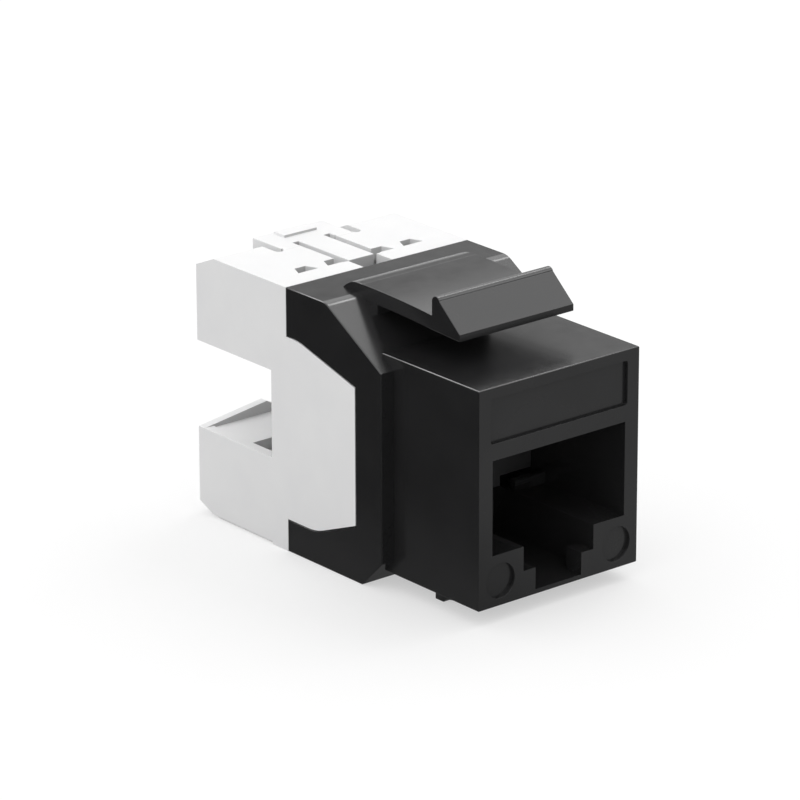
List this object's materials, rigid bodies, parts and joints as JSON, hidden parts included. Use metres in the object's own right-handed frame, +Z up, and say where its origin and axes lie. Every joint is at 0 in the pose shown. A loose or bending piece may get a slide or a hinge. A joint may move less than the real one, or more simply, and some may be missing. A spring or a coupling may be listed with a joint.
{
  "type": "keystone jack",
  "caption": "Snap-in network jack: black nose with plug mouth and flexing top latch, white slide-on rear wire cap with sprung release levers.",
  "frame": {"origin": "centre of the jack's footprint, on the plane it rests on (the underside of shell and cap)", "axes": "+X across the jack, -Y towards the plug mouth, +Y towards the wire side, +Z up towards the latch"},
  "size_m": [0.0166, 0.0298, 0.0216],
  "materials": {
    "black_plastic": "semi-gloss moulded",
    "white_plastic": "satin moulded",
    "comb_plastic": "satin moulded",
    "board": "solder-mask laminate",
    "terminal_plastic": "satin moulded",
    "gold_contact": "gold plated",
    "tinned_terminal": "tin plated"
  },
  "bodies": {
    "housing": {"front_housing": "black_plastic", "contact_comb": "comb_plastic", "circuit_board": "board", "terminal_block": "terminal_plastic", "contact_spring_1": "gold_contact", "contact_spring_2": "gold_contact", "contact_spring_3": "gold_contact", "contact_spring_4": "gold_contact", "contact_spring_5": "gold_contact", "contact_spring_6": "gold_contact", "contact_spring_7": "gold_contact", "contact_spring_8": "gold_contact", "wire_terminal_1": "tinned_terminal", "wire_terminal_2": "tinned_terminal", "wire_terminal_3": "tinned_terminal", "wire_terminal_4": "tinned_terminal", "wire_terminal_5": "tinned_terminal", "wire_terminal_6": "tinned_terminal", "wire_terminal_7": "tinned_terminal", "wire_terminal_8": "tinned_terminal"},
    "latch": {"latch_arm": "black_plastic"},
    "cap": {"wire_cap": "white_plastic"},
    "upper_lever": {"release_lever_top": "white_plastic"},
    "lower_lever": {"release_lever_bottom": "white_plastic"}
  },
  "joints": [
    {"name": "latch_press", "type": "hinge", "parent": "housing", "child": "latch", "pos_m": [0, -0.00167, 0.01986], "axis": [1, 0, 0], "range_deg": [0, 9], "stiffness_Nm_per_rad": 0.1},
    {"name": "cap_slide", "type": "slide", "parent": "housing", "child": "cap", "axis": [0, 1, 0], "range_m": [0, 0.012]},
    {"name": "upper_lever_press", "type": "hinge", "parent": "cap", "child": "upper_lever", "pos_m": [0, 0.0115, 0.0193], "axis": [-1, 0, 0], "range_deg": [0, 12], "stiffness_Nm_per_rad": 0.05},
    {"name": "lower_lever_press", "type": "hinge", "parent": "cap", "child": "lower_lever", "pos_m": [0, 0.0115, 0.00047], "axis": [1, 0, 0], "range_deg": [0, 12], "stiffness_Nm_per_rad": 0.05}
  ]
}
